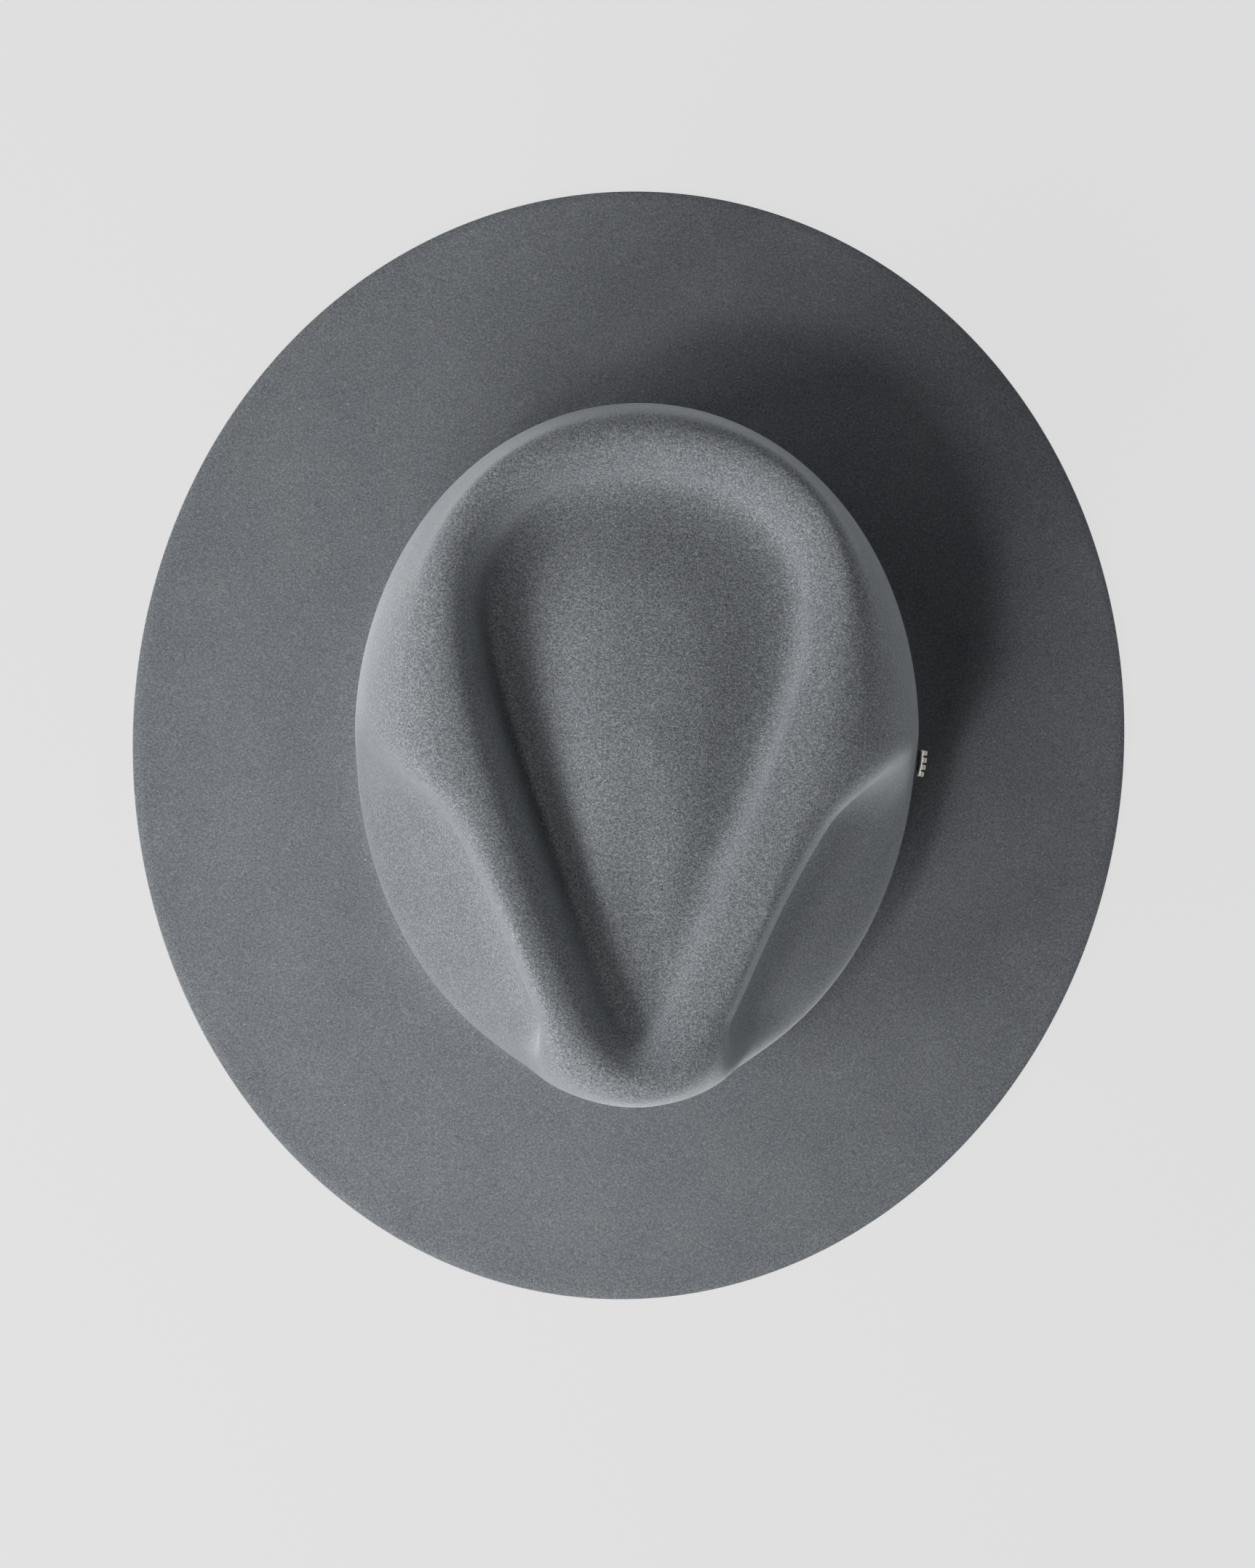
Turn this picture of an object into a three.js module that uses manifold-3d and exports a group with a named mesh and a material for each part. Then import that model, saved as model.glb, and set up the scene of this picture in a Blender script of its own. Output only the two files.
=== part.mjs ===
// A wide-brimmed fur-felt fedora with a teardrop crown and a pinched front.
// Millimetres. +X is the wearer's left, +Y the back, +Z up; the brim rests on z = 0.
import * as THREE from 'three';
import { mergeVertices } from 'three/addons/utils/BufferGeometryUtils.js';
import Module from 'manifold-3d';

// ---------------------------------------------------------------- driving dimensions
const brimWidth = 321;
const brimLength = 359;
const brimTwist = THREE.MathUtils.degToRad(2.5);
const flatMargin = 10;
const feltThickness = 2.2;
const crownCentre = new THREE.Vector2(1.2, -3.5);
const baseHalfWidth = 85.5;
const baseFront = 103.5;
const baseBack = 105.5;
const bandLow = 11;
const bandHigh = 33;
const gap = 0.35;
const ribbonThickness = 0.6;
const leatherThickness = 1.0;
const liningThickness = 0.7;
const anglesAround = 72;

// ---------------------------------------------------------------- plan curves
// A ring is an egg-shaped curve round the crown. Its half width narrows towards the nose by
// taper, blunt squares its nose, and its height runs through back, side and front values.
const crownRings = {
  foot: { half: 92, front: 110, back: 112, taper: 0.02, blunt: 0, side: 6.9, nose: 6.9, rear: 6.9 },
  fillet: { half: 87.2, front: 105.2, back: 107.2, taper: 0.02, blunt: 0, side: 8.4, nose: 8.4, rear: 8.4 },
  bandFoot: {
    half: baseHalfWidth, front: baseFront, back: baseBack, taper: 0.02, blunt: 0,
    side: bandLow, nose: bandLow, rear: bandLow,
  },
  bandHead: {
    half: baseHalfWidth, front: baseFront, back: baseBack, taper: 0.02, blunt: 0,
    side: bandHigh, nose: bandHigh, rear: bandHigh,
  },
  bulge: { half: 87.6, front: 105.2, back: 108, taper: 0.03, blunt: 0, side: 43, nose: 43, rear: 45 },
  wall: { half: 86.8, front: 106.2, back: 108.6, taper: 0.04, blunt: 0, side: 61, nose: 62, rear: 61 },
  upperWall: { half: 82.6, front: 106.4, back: 105.8, taper: 0.08, blunt: 0, side: 81.5, nose: 84, rear: 79.5 },
  shoulder: { half: 74.5, front: 105.2, back: 103.8, taper: 0.16, blunt: 0, side: 97, nose: 101.5, rear: 93.2 },
  crestOuter: { half: 65, front: 102.5, back: 101, taper: 0.3, blunt: 0.08, side: 105.2, nose: 110, rear: 100.2 },
  crest: { half: 54, front: 97.6, back: 96.8, taper: 0.51, blunt: 0.2, side: 108.2, nose: 113, rear: 102.4 },
  crestInner: { half: 46.8, front: 92.4, back: 91.8, taper: 0.62, blunt: 0.22, side: 106.9, nose: 111.6, rear: 101.7 },
  innerWall: { half: 41, front: 88, back: 86.6, taper: 0.72, blunt: 0.25, side: 102.2, nose: 107.8, rear: 97.4 },
  valley: { half: 35.2, front: 83, back: 80.6, taper: 0.83, blunt: 0.27, side: 92.4, nose: 101.6, rear: 90.6 },
  dome: { half: 17, front: 48, back: 49, taper: 0.3, blunt: 0, side: 99.6, nose: 98.8, rear: 97.2 },
};
const domeTop = new THREE.Vector3(4, 4, 102.2);

// The dent is pressed a little deeper on the wearer's right.
const dentLean = { innerWall: 2.3, valley: 4.8, dome: 1.2 };

// The two side pinches run from the widest part of the crown to the nose. Inside them the wall
// leaves its open shape and falls in to the crease, under the overhanging edge of the ridge.
const pinchedRings = {
  wall: { half: 82, front: 104.5, back: 107, taper: 0.49, blunt: 0.24, side: 60, nose: 62, rear: 60 },
  upperWall: { half: 69.5, front: 104.5, back: 105, taper: 1.03, blunt: 0.71, side: 81, nose: 86, rear: 80 },
  shoulder: { half: 70.5, front: 104.5, back: 105, taper: 1.02, blunt: 0.7, side: 96, nose: 101, rear: 92 },
  crestOuter: { half: 64, front: 102.5, back: 101, taper: 0.9, blunt: 0.58, side: 106, nose: 110.5, rear: 100.2 },
};
const pinch = { sideStart: 0.1, sideFull: -0.2, noseFull: -0.75, noseEnd: -0.985 };

function ringPoint(ring, angle, grow = 0) {
  const fore = Math.sin(angle);
  const width = (ring.half + grow) * Math.cos(angle) * (1 + ring.taper * fore + ring.blunt * fore * fore);
  const middle = (ring.back - ring.front) / 2;
  const length = (ring.back + ring.front) / 2 + grow;
  const tilt = (ring.rear - ring.nose) / 2;
  const bow = (ring.rear + ring.nose) / 2 - ring.side;
  return new THREE.Vector3(
    crownCentre.x + width,
    crownCentre.y + middle + length * fore,
    ring.side + tilt * fore + bow * fore * fore,
  );
}

function pinchAt(angle) {
  const fore = Math.sin(angle);
  const side = 1 - THREE.MathUtils.smoothstep(fore, pinch.sideFull, pinch.sideStart);
  const nose = THREE.MathUtils.smoothstep(fore, pinch.noseEnd, pinch.noseFull);
  return side * nose;
}

function crownPoint(name, angle, grow = 0) {
  const point = ringPoint(crownRings[name], angle, grow);
  point.z += (dentLean[name] ?? 0) * Math.cos(angle);
  if (name in pinchedRings) {
    point.lerp(ringPoint(pinchedRings[name], angle, grow), pinchAt(angle));
  }
  return point;
}

function brimOutline(angle, inset, height) {
  const x = (brimWidth / 2 - inset) * Math.cos(angle) * (1 + 0.012 * Math.sin(angle));
  const y = (brimLength / 2 - inset) * Math.sin(angle);
  return new THREE.Vector3(
    x * Math.cos(brimTwist) + y * Math.sin(brimTwist),
    y * Math.cos(brimTwist) - x * Math.sin(brimTwist),
    height,
  );
}

// ---------------------------------------------------------------- felt surface
// The section of the felt at one angle, from the brim's edge over the crown to the dome's top.
function feltKnots(angle) {
  const margin = brimOutline(angle, flatMargin, feltThickness);
  const foot = crownPoint('foot', angle);
  const middle = margin.clone().lerp(foot, 0.5);
  middle.z = feltThickness + 2.4;
  const crown = Object.keys(crownRings).slice(1).map((name) => crownPoint(name, angle));
  return [brimOutline(angle, 0, feltThickness), margin, middle, foot, ...crown,
    new THREE.Vector3(crownCentre.x + domeTop.x, crownCentre.y + domeTop.y, domeTop.z)];
}

const stepsPerSpan = [1, 1, 2, 1, 1, 1, 1, 2, 2, 2, 1, 1, 2, 1, 2, 2, 2];

function feltSection(angle) {
  const knots = feltKnots(angle);
  const curve = new THREE.CatmullRomCurve3(knots, false, 'centripetal');
  const points = [knots[0]];
  stepsPerSpan.forEach((steps, span) => {
    for (let step = 1; step <= steps; step += 1) {
      points.push(curve.getPoint((span + step / steps) / stepsPerSpan.length));
    }
  });
  return points;
}

function sweepAngles() {
  return Array.from({ length: anglesAround }, (_, i) => (2 * Math.PI * i) / anglesAround);
}

// Moves a grid of section points along its own normals, to the inside of the hat.
function offsetGrid(grid, distance) {
  return grid.map((section, i) => {
    const before = grid[(i + grid.length - 1) % grid.length];
    const after = grid[(i + 1) % grid.length];
    return section.map((point, j) => {
      const along = section[Math.min(j + 1, section.length - 1)].clone().sub(section[Math.max(j - 1, 0)]);
      const around = after[j].clone().sub(before[j]);
      const normal = around.cross(along).normalize();
      const flat = j < 2 || j === section.length - 1;
      return flat ? point.clone().setZ(point.z - distance) : point.clone().addScaledVector(normal, -distance);
    });
  });
}

// ---------------------------------------------------------------- solids
function solidFrom(positions, indices) {
  const geometry = new THREE.BufferGeometry();
  geometry.setAttribute('position', new THREE.Float32BufferAttribute(positions, 3));
  geometry.setIndex(indices);
  return geometry;
}

// Joins closed cross-sections, one for each angle, into a ring-shaped solid.
function ringSolid(sections) {
  const positions = sections.flat().flatMap((point) => point.toArray());
  const size = sections[0].length;
  const indices = [];
  sections.forEach((_, i) => {
    const here = i * size;
    const next = ((i + 1) % sections.length) * size;
    for (let j = 0; j < size; j += 1) {
      const k = (j + 1) % size;
      indices.push(here + j, next + j, here + k, here + k, next + j, next + k);
    }
  });
  return solidFrom(positions, indices);
}

// Joins open sections that all begin at one top pole and end at one lower pole.
function domeSolid(sections) {
  const inner = sections.map((section) => section.slice(1, -1));
  const size = inner[0].length;
  const topPole = sections.length * size;
  const lowPole = topPole + 1;
  const poles = [sections[0][0], sections[0].at(-1)];
  const positions = [...inner.flat(), ...poles].flatMap((point) => point.toArray());
  const indices = [];
  inner.forEach((_, i) => {
    const here = i * size;
    const next = ((i + 1) % inner.length) * size;
    indices.push(topPole, here, next, lowPole, next + size - 1, here + size - 1);
    for (let j = 0; j < size - 1; j += 1) {
      indices.push(here + j, here + j + 1, next + j, here + j + 1, next + j + 1, next + j);
    }
  });
  return solidFrom(positions, indices);
}

function bodyMesh(name, geometry, material) {
  const mesh = new THREE.Mesh(geometry, material);
  mesh.name = name;
  return mesh;
}

function material(colour, roughness, metalness = 0) {
  return new THREE.MeshStandardMaterial({ color: colour, roughness, metalness });
}

const feltMaterial = material('#74787d', 0.95);
const ribbonMaterial = material('#4c5056', 0.8);
const leatherMaterial = material('#2b2522', 0.6);
const satinMaterial = material('#3a3d43', 0.4);
const plasticMaterial = material('#d8d8d2', 0.35);
const metalMaterial = material('#cfcabf', 0.25, 1);
const tagMaterial = material('#e9e6dd', 0.8);

// ---------------------------------------------------------------- felt body
function feltBody() {
  const outer = sweepAngles().map(feltSection);
  const inside = offsetGrid(outer, feltThickness);
  const sections = outer.map((section, i) => [...section.toReversed(), ...inside[i]]);
  return bodyMesh('felt_body', domeSolid(sections), feltMaterial);
}

// ---------------------------------------------------------------- rings round the head opening
// Strips here follow the base oval. An offset is a distance outside it, less than 0 inside.
function baseOval(angle, offset, z) {
  return ringPoint(crownRings.bandFoot, angle, offset).setZ(z);
}

function stripSection(angle, offset, thickness, low, high) {
  return [
    baseOval(angle, offset, low),
    baseOval(angle, offset + thickness, low),
    baseOval(angle, offset + thickness, high),
    baseOval(angle, offset, high),
  ];
}

function hatbandRibbon() {
  const sections = sweepAngles().map(
    (angle) => stripSection(angle, gap, ribbonThickness, bandLow + 0.8, bandHigh - 1),
  );
  return bodyMesh('hatband_ribbon', ringSolid(sections), ribbonMaterial);
}

const leatherInner = -(feltThickness + 2.6);
const leatherLow = 4.2;
const leatherTop = 40;

function sweatbandLeather() {
  const sections = sweepAngles().map(
    (angle) => stripSection(angle, leatherInner, leatherThickness, leatherLow, leatherTop),
  );
  return bodyMesh('sweatband_leather', ringSolid(sections), leatherMaterial);
}

// The reed is a plastic cord that stiffens the sweatband's lower edge, inside a folded tape.
const reed = { radius: 0.8, offset: leatherInner + leatherThickness / 2, z: 2.5 };
const tape = { inside: 1.15, thickness: 0.35, high: 8 };

function sweatbandReed() {
  const sections = sweepAngles().map((angle) => Array.from({ length: 8 }, (_, i) => {
    const turn = (2 * Math.PI * i) / 8;
    return baseOval(angle, reed.offset + reed.radius * Math.cos(turn), reed.z + reed.radius * Math.sin(turn));
  }));
  return bodyMesh('sweatband_reed', ringSolid(sections), plasticMaterial);
}

function sweatbandTape() {
  const trough = (angle, radius) => Array.from({ length: 7 }, (_, i) => {
    const turn = Math.PI + (Math.PI * i) / 6;
    return baseOval(angle, reed.offset + radius * Math.cos(turn), reed.z + radius * Math.sin(turn));
  });
  const sections = sweepAngles().map((angle) => {
    const outside = tape.inside + tape.thickness;
    return [
      baseOval(angle, reed.offset - outside, tape.high),
      ...trough(angle, outside),
      baseOval(angle, reed.offset + outside, tape.high),
      baseOval(angle, reed.offset + tape.inside, tape.high),
      ...trough(angle, tape.inside).toReversed(),
      baseOval(angle, reed.offset - tape.inside, tape.high),
    ];
  });
  return bodyMesh('sweatband_tape', ringSolid(sections), ribbonMaterial);
}

// A short piece of strip, closed at both ends.
function stripPatch(from, to, offset, thickness, low, high) {
  const steps = 4;
  const sections = Array.from({ length: steps + 1 }, (_, i) => (
    stripSection(from + ((to - from) * i) / steps, offset, thickness, low, high)
  ));
  const positions = sections.flat().flatMap((point) => point.toArray());
  const indices = [0, 1, 2, 0, 2, 3];
  for (let i = 0; i < steps; i += 1) {
    for (let j = 0; j < 4; j += 1) {
      const here = i * 4 + j;
      const beside = i * 4 + ((j + 1) % 4);
      indices.push(here, here + 4, beside, beside, here + 4, beside + 4);
    }
  }
  const last = steps * 4;
  indices.push(last, last + 2, last + 1, last, last + 3, last + 2);
  return solidFrom(positions, indices);
}

// ---------------------------------------------------------------- keeper and badge
// The ribbon's ends meet at the wearer's left, under a keeper folded from the same ribbon.
const badgeY = -3.8;
const badgeAngle = Math.asin((badgeY - crownCentre.y - 1) / (baseBack - 1));
const keeper = { halfAngle: 0.05, thickness: 2.6, low: bandLow + 0.4, high: bandHigh - 0.6 };
const keeperOffset = gap + ribbonThickness + gap;

function ribbonKeeper() {
  const from = badgeAngle - keeper.halfAngle;
  const to = badgeAngle + keeper.halfAngle;
  const geometry = stripPatch(from, to, keeperOffset, keeper.thickness, keeper.low, keeper.high);
  return bodyMesh('ribbon_keeper', geometry, ribbonMaterial);
}

// The badge is a plain bent plate with upright ribs.
const badge = {
  width: 8.2, height: 12, plate: 1.1, bendRadius: 30, turn: -0.14, standOff: 0.9,
  ribs: 4, ribWidth: 1.7, ribHeight: 10.8, ribDepth: 1.3,
};

// A slab whose plan is part of a ring about the bend's centre, standing upright.
function arcSlab(inner, depth, middle, width, height) {
  const half = width / 2 / badge.bendRadius;
  const shape = new THREE.Shape();
  shape.absarc(0, 0, inner + depth, middle - half, middle + half, false);
  shape.absarc(0, 0, inner, middle + half, middle - half, true);
  const geometry = new THREE.ExtrudeGeometry(shape, { depth: height, bevelEnabled: false, curveSegments: 4 });
  return geometry.translate(0, 0, -height / 2);
}

const wasm = await Module();
wasm.setup();

// Joins overlapping closed geometries into one solid.
function united(geometries) {
  const solids = geometries.map((geometry) => {
    geometry.deleteAttribute('normal');
    geometry.deleteAttribute('uv');
    const merged = mergeVertices(geometry, 1e-4);
    return new wasm.Manifold(new wasm.Mesh({
      numProp: 3,
      vertProperties: new Float32Array(merged.attributes.position.array),
      triVerts: new Uint32Array(merged.index.array),
    }));
  });
  const whole = solids.reduce((sum, solid) => sum.add(solid)).getMesh();
  return solidFrom(Array.from(whole.vertProperties), Array.from(whole.triVerts));
}

function badgePlate() {
  const pitch = (badge.width - badge.ribWidth) / (badge.ribs - 1) / badge.bendRadius;
  const overlap = 0.3;
  const ribs = Array.from({ length: badge.ribs }, (_, i) => arcSlab(
    badge.bendRadius + badge.plate - overlap, badge.ribDepth + overlap,
    (i - (badge.ribs - 1) / 2) * pitch, badge.ribWidth - 0.1, badge.ribHeight,
  ));
  const plate = arcSlab(badge.bendRadius, badge.plate, 0, badge.width, badge.height);
  const geometry = united([plate, ...ribs]).translate(-badge.bendRadius, 0, 0);
  const mesh = bodyMesh('badge_plate', geometry, metalMaterial);
  const offset = keeperOffset + keeper.thickness + badge.standOff;
  mesh.position.copy(baseOval(badgeAngle, offset, (bandLow + bandHigh) / 2));
  mesh.rotation.z = badge.turn;
  return mesh;
}

// ---------------------------------------------------------------- sweatband trim at the back
function bowShape() {
  const shape = new THREE.Shape();
  shape.moveTo(1.6, 1.4);
  shape.bezierCurveTo(5, 3.2, 9, 4.6, 11, 3.8);
  shape.bezierCurveTo(12.2, 3, 12.2, -3, 11, -3.8);
  shape.bezierCurveTo(9, -4.6, 5, -3.2, 1.6, -1.4);
  shape.lineTo(-1.6, -1.4);
  shape.bezierCurveTo(-5, -3.2, -9, -4.6, -11, -3.8);
  shape.bezierCurveTo(-12.2, -3, -12.2, 3, -11, 3.8);
  shape.bezierCurveTo(-9, 4.6, -5, 3.2, -1.6, 1.4);
  return shape;
}

const bow = { z: 15, thickness: 1.2, wall: 0.6, length: 2.6 };
const bowY = baseOval(Math.PI / 2, leatherInner, 0).y - gap - bow.wall - gap - bow.thickness / 2;

function sweatbandBowLoops() {
  const geometry = new THREE.ExtrudeGeometry(
    bowShape(), { depth: bow.thickness, bevelEnabled: false, curveSegments: 6 },
  );
  geometry.translate(0, 0, -bow.thickness / 2).rotateX(Math.PI / 2);
  const mesh = bodyMesh('sweatband_bow_loops', geometry, ribbonMaterial);
  mesh.position.set(crownCentre.x, bowY, bow.z);
  return mesh;
}

function roundedRectangle(width, height, radius) {
  const x = width / 2 - radius;
  const y = height / 2 - radius;
  const shape = new THREE.Shape();
  shape.absarc(x, y, radius, 0, Math.PI / 2);
  shape.absarc(-x, y, radius, Math.PI / 2, Math.PI);
  shape.absarc(-x, -y, radius, Math.PI, Math.PI * 1.5);
  shape.absarc(x, -y, radius, Math.PI * 1.5, Math.PI * 2);
  return shape;
}

// The knot is a sleeve round the waist of the bow.
function sweatbandBowKnot() {
  const halfHeight = 1.4 + gap;
  const halfDepth = bow.thickness / 2 + gap;
  const shape = roundedRectangle(2 * (halfHeight + bow.wall), 2 * (halfDepth + bow.wall), 0.5);
  shape.holes.push(new THREE.Path().setFromPoints([
    new THREE.Vector2(-halfHeight, -halfDepth),
    new THREE.Vector2(-halfHeight, halfDepth),
    new THREE.Vector2(halfHeight, halfDepth),
    new THREE.Vector2(halfHeight, -halfDepth),
  ]));
  const geometry = new THREE.ExtrudeGeometry(
    shape, { depth: bow.length, bevelEnabled: false, curveSegments: 3 },
  );
  geometry.translate(0, 0, -bow.length / 2).rotateY(Math.PI / 2);
  const mesh = bodyMesh('sweatband_bow_knot', geometry, ribbonMaterial);
  mesh.position.set(crownCentre.x, bowY, bow.z);
  return mesh;
}

function sizeTag() {
  const middle = Math.PI / 2 + 0.35;
  const geometry = stripPatch(middle - 0.07, middle + 0.07, leatherInner - gap - 0.4, 0.4, 16, 30);
  return bodyMesh('size_tag', geometry, tagMaterial);
}

// ---------------------------------------------------------------- lining
const liningGap = feltThickness + 0.5;
const liningHem = 30;
const liningSlack = 2.5;
const liningDrop = 3;
const liningTop = 89;

// The lining's outer face, from the hem behind the sweatband up to the seam with the tip.
function liningSideSection(angle) {
  const slack = liningSlack + 4.5 * pinchAt(angle);
  const wall = crownPoint('wall', angle, -liningGap - slack);
  const top = crownPoint('upperWall', angle, -liningGap - slack - 2).setZ(wall.z + 15);
  return [
    baseOval(angle, -liningGap, liningHem),
    baseOval(angle, -liningGap, leatherTop),
    wall.clone().lerp(baseOval(angle, -liningGap - 0.5, leatherTop), 0.5),
    wall,
    wall.clone().lerp(top, 0.5),
    top,
  ];
}

// The tip runs from that seam, under the valley of the crown, to the middle.
function liningTipSection(angle) {
  const seam = liningSideSection(angle).at(-1).add(new THREE.Vector3(0, 0, gap + 0.5));
  const valley = crownPoint('valley', angle);
  valley.z -= liningGap + liningDrop + 5 * Math.max(0, -Math.sin(angle));
  const centre = new THREE.Vector3(crownCentre.x, crownCentre.y + domeTop.y, liningTop);
  return [
    centre,
    valley.clone().lerp(centre, 0.5),
    valley,
    seam.clone().lerp(valley, 0.5),
    seam,
  ];
}

function liningSide() {
  const outer = sweepAngles().map(liningSideSection);
  const inner = outer.map((section, i) => section.map((point) => {
    const middle = new THREE.Vector3(crownCentre.x, crownCentre.y, point.z);
    return point.clone().addScaledVector(middle.sub(point).normalize(), liningThickness);
  }));
  const sections = outer.map((section, i) => [...section, ...inner[i].toReversed()]);
  return bodyMesh('lining_side', ringSolid(sections), satinMaterial);
}

function liningTip() {
  const outer = sweepAngles().map(liningTipSection);
  const sections = outer.map((section) => [
    ...section,
    ...section.toReversed().map((point) => point.clone().setZ(point.z - liningThickness)),
  ]);
  return bodyMesh('lining_tip', domeSolid(sections), satinMaterial);
}

// ---------------------------------------------------------------- the hat
const hat = new THREE.Group();
hat.add(
  feltBody(),
  hatbandRibbon(),
  ribbonKeeper(),
  badgePlate(),
  sweatbandLeather(),
  sweatbandTape(),
  sweatbandReed(),
  sweatbandBowLoops(),
  sweatbandBowKnot(),
  sizeTag(),
  liningSide(),
  liningTip(),
);

export default hat;
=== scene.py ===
"""A grey fur-felt fedora with a teardrop crown, seen from above on a pale floor.

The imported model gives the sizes. This script rebuilds its soft pieces with fine surfaces and
gives every piece a procedural material. Metres; +X is the wearer's left, +Y the back, +Z up.
"""
import math

import bpy
import numpy as np
from mathutils import Matrix, Vector


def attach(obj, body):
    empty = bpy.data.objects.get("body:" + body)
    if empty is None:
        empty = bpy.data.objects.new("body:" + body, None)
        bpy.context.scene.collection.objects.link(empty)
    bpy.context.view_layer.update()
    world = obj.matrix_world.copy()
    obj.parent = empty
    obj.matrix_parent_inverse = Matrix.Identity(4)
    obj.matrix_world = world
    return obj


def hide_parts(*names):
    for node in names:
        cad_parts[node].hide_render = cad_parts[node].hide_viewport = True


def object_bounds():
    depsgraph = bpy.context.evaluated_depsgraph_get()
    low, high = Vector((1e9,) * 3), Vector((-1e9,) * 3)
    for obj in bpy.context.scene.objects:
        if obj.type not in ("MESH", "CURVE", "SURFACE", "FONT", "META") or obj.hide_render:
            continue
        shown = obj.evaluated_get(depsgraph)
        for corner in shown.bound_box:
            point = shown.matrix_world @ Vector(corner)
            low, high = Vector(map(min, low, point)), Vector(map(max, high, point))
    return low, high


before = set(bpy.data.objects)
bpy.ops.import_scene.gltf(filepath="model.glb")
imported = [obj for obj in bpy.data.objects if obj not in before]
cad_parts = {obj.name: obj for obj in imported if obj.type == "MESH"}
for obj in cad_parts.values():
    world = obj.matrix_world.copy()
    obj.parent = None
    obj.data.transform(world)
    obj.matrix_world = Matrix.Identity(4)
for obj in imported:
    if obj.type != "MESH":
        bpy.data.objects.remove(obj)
cad_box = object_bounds()
scene = bpy.context.scene
MM = 0.001
TAU = 2 * math.pi

# ---------------------------------------------------------------- sizes, in millimetres
BRIM_WIDTH, BRIM_LENGTH = 321.0, 359.0
BRIM_TWIST = math.radians(2.5)
FLAT_MARGIN = 10.0
BRIM_RISE = 2.4
FELT = 2.2
CROWN_X, CROWN_Y = 1.2, -3.5
BASE_HALF, BASE_FRONT, BASE_BACK = 85.5, 103.5, 105.5
BAND_LOW, BAND_HIGH = 11.0, 33.0
GAP = 0.35
RIBBON = 0.6
KEEPER = 2.6
LEATHER_INNER, LEATHER, LEATHER_LOW, LEATHER_TOP = -(FELT + 2.6), 1.0, 4.2, 40.0
LEATHER_LEAN = 0.35
REED_OFFSET, REED_Z = LEATHER_INNER + LEATHER / 2, 2.5
TAPE_INSIDE, TAPE, TAPE_HIGH = 1.15, 0.35, 8.0
LINING_GAP, LINING_HEM, LINING, LINING_SLACK = FELT + 0.5, 30.0, 0.5, 2.5
LINING_GATHERS = 120
BADGE_Y = -3.8
BADGE_ANGLE = math.asin((BADGE_Y - CROWN_Y - 1) / (BASE_BACK - 1))
RIB_PITCH = 0.9
WARP_PITCH = 0.32
STITCH_PITCH, STITCH_Z = 2.9, 6.4
REED_RADIUS = 0.78
# The bow lies on the leather's inner face, at the back of the head.
BOW_HALF, BOW_Z = 11.6, 15.0
BOW_Y = CROWN_Y + BASE_BACK + LEATHER_INNER - 2 * GAP - 1.2
ANGLES = 720

# A ring: half width, front, back, taper, blunt, and the heights at side, nose and rear.
RINGS = {
    "foot": (92.0, 110.0, 112.0, 0.02, 0.0, 6.9, 6.9, 6.9),
    "fillet": (87.2, 105.2, 107.2, 0.02, 0.0, 8.4, 8.4, 8.4),
    "band_foot": (BASE_HALF, BASE_FRONT, BASE_BACK, 0.02, 0.0, BAND_LOW, BAND_LOW, BAND_LOW),
    "band_head": (BASE_HALF, BASE_FRONT, BASE_BACK, 0.02, 0.0, BAND_HIGH, BAND_HIGH, BAND_HIGH),
    "bulge": (87.6, 105.2, 108.0, 0.03, 0.0, 43.0, 43.0, 45.0),
    "wall": (86.8, 106.2, 108.6, 0.04, 0.0, 61.0, 62.0, 61.0),
    "upper_wall": (82.6, 106.4, 105.8, 0.08, 0.0, 81.5, 84.0, 79.5),
    "shoulder": (74.5, 105.2, 103.8, 0.16, 0.0, 97.0, 101.5, 93.2),
    "crest_outer": (65.0, 102.5, 101.0, 0.3, 0.08, 105.2, 110.0, 100.2),
    "crest": (54.0, 97.6, 96.8, 0.51, 0.2, 108.2, 113.0, 102.4),
    "crest_inner": (46.8, 92.4, 91.8, 0.62, 0.22, 106.9, 111.6, 101.7),
    "inner_wall": (41.0, 88.0, 86.6, 0.72, 0.25, 102.2, 107.8, 97.4),
    "valley": (35.2, 83.0, 80.6, 0.83, 0.27, 92.4, 101.6, 90.6),
    "dome": (17.0, 48.0, 49.0, 0.3, 0.0, 99.6, 98.8, 97.2),
}
PINCHED = {
    "wall": (82.0, 104.5, 107.0, 0.49, 0.24, 60.0, 62.0, 60.0),
    "upper_wall": (69.5, 104.5, 105.0, 1.03, 0.71, 81.0, 86.0, 80.0),
    "shoulder": (70.5, 104.5, 105.0, 1.02, 0.7, 96.0, 101.0, 92.0),
    "crest_outer": (64.0, 102.5, 101.0, 0.9, 0.58, 106.0, 110.5, 100.2),
}
PINCH_SIDE = (-0.2, 0.1)
PINCH_NOSE = (-0.985, -0.75)
DOME_TOP = (4.0, 4.0, 102.2)
# The dent is pressed a little deeper on the wearer's right.
DENT_LEAN = {"inner_wall": 2.3, "valley": 4.8, "dome": 1.2}


# ---------------------------------------------------------------- the hat's surface
def smoothstep(value, low, high):
    t = np.clip((value - low) / (high - low), 0, 1)
    return t * t * (3 - 2 * t)


def ring_points(ring, angle, grow=0.0):
    half, front, back, taper, blunt, side_z, nose_z, rear_z = ring
    fore = np.sin(angle)
    x = (half + grow) * np.cos(angle) * (1 + taper * fore + blunt * fore**2)
    y = (back - front) / 2 + ((back + front) / 2 + grow) * fore
    z = side_z + (rear_z - nose_z) / 2 * fore + ((rear_z + nose_z) / 2 - side_z) * fore**2
    return np.stack([CROWN_X + x, CROWN_Y + y, z], axis=-1)


def pinch_at(angle):
    fore = np.sin(angle)
    return (1 - smoothstep(fore, *PINCH_SIDE)) * smoothstep(fore, *PINCH_NOSE)


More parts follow.
